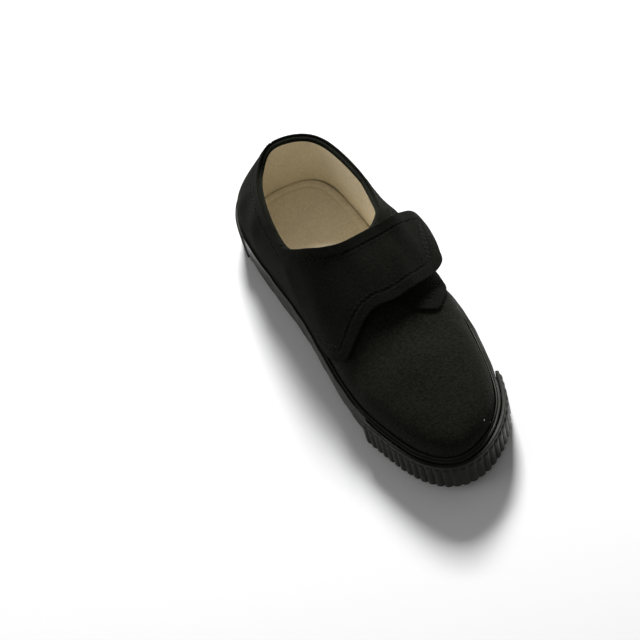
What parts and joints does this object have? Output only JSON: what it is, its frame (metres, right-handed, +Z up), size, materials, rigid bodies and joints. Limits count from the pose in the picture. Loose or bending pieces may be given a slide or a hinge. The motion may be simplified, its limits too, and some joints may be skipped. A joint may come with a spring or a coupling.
{
  "type": "plimsoll",
  "caption": "Low canvas plimsoll for a child's left foot, with a wide strap over the instep that fastens on the outer side, a rubber band round the sole and a ribbed rubber toe strip.",
  "frame": {"origin": "centre of the shoe's bounding box in plan, on the floor that the sole stands on", "axes": "+Z up, the toe points to -Y and the heel to +Y, +X is the lateral (outer) side of the left foot"},
  "size_m": [0.0774, 0.2094, 0.066],
  "materials": {
    "outsole": "matt moulded rubber",
    "insole": "cream cotton",
    "upper": "black cotton canvas, cream cotton inside",
    "quarters": "black cotton canvas, hemmed and stitched",
    "tape": "black hook and loop tape",
    "foxing": "glossy vulcanised rubber"
  },
  "bodies": {
    "root": {"outsole": "outsole", "insole": "insole", "upper": "upper", "lateral_quarter": "quarters", "medial_quarter_strap": "quarters", "loop_tape": "tape", "hook_tape": "tape", "foxing": "foxing", "toe_bumper": "foxing"}
  },
  "joints": []
}
